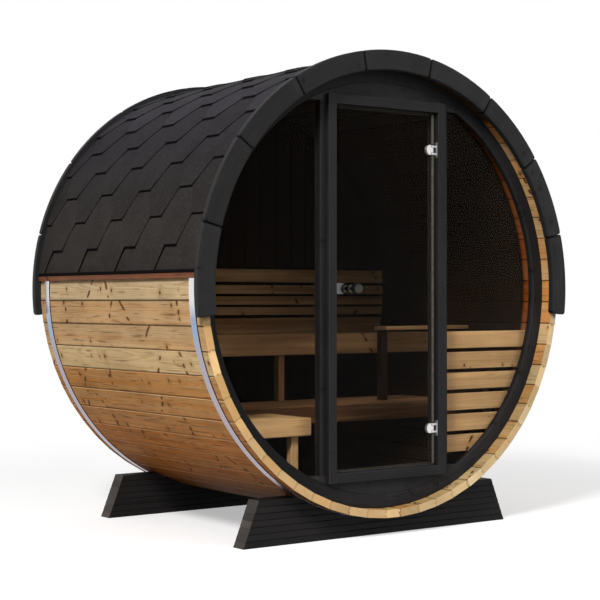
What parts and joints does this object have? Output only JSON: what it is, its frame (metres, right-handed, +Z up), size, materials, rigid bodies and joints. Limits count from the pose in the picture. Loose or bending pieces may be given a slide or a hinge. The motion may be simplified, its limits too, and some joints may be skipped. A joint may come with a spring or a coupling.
{
  "type": "barrel sauna",
  "caption": "Horizontal barrel sauna of tongued staves on two cradles, with a shingled roof, end arches, a glazed front wall, a hinged glass door and benches inside.",
  "frame": {"origin": "on the ground under the middle of the barrel", "axes": "+X to the right seen from the door, +Y from the door end to the rear end, +Z up"},
  "size_m": [2.0638, 1.4566, 2.1128],
  "materials": {
    "charcoal_stain": "charcoal stained softwood",
    "spruce_staves": "oiled spruce staves with knots",
    "heat_treated_boards": "planed bench boards",
    "stainless_band": "stainless steel band",
    "chrome_fittings": "polished chrome",
    "tinted_glass": "bronze tinted toughened glass",
    "bitumen_shingles": "mineral surfaced bitumen shingles",
    "eave_stain": "red brown stained batten",
    "spruce_wall": "tongued boards"
  },
  "bodies": {
    "sauna": {"backrest_battens": "heat_treated_boards", "backrest_slats": "heat_treated_boards", "cradle_front": "charcoal_stain", "cradle_rear": "charcoal_stain", "door_head": "charcoal_stain", "door_jamb_left": "charcoal_stain", "door_jamb_right": "charcoal_stain", "door_sill": "charcoal_stain", "eave_batten_left": "eave_stain", "eave_batten_right": "eave_stain", "front_arch": "charcoal_stain", "front_bottom_panel": "charcoal_stain", "front_top_panel": "charcoal_stain", "guard_boards": "heat_treated_boards", "guard_posts": "heat_treated_boards", "guard_rail": "heat_treated_boards", "hinge_plates": "chrome_fittings", "hoop_front": "stainless_band", "hoop_rear": "stainless_band", "lower_bench_aprons": "heat_treated_boards", "lower_bench_boards": "heat_treated_boards", "rear_arch": "charcoal_stain", "rear_wall_left": "spruce_wall", "rear_wall_right": "spruce_wall", "ring_frame_left": "charcoal_stain", "ring_frame_right": "charcoal_stain", "roof_covering_left": "bitumen_shingles", "roof_covering_right": "bitumen_shingles", "side_bench_boards": "heat_treated_boards", "side_bench_leg": "heat_treated_boards", "side_glass_left": "tinted_glass", "side_glass_right": "tinted_glass", "staves_bottom": "spruce_staves", "staves_left": "spruce_staves", "staves_lower_left": "spruce_staves", "staves_lower_right": "spruce_staves", "staves_right": "spruce_staves", "staves_top": "spruce_staves", "staves_upper_left": "spruce_staves", "staves_upper_right": "spruce_staves", "upper_bench_apron": "heat_treated_boards", "upper_bench_boards": "heat_treated_boards", "upper_bench_post": "heat_treated_boards", "window_post_left": "charcoal_stain", "window_post_right": "charcoal_stain"},
    "door": {"door_catch": "chrome_fittings", "door_glass": "tinted_glass", "door_knobs": "chrome_fittings", "hinge_clamps": "chrome_fittings"}
  },
  "joints": [
    {"name": "door_hinge", "type": "hinge", "parent": "sauna", "child": "door", "pos_m": [0.27, -0.638, 1.081], "axis": [0, 0, 1], "range_deg": [0, 95]}
  ]
}
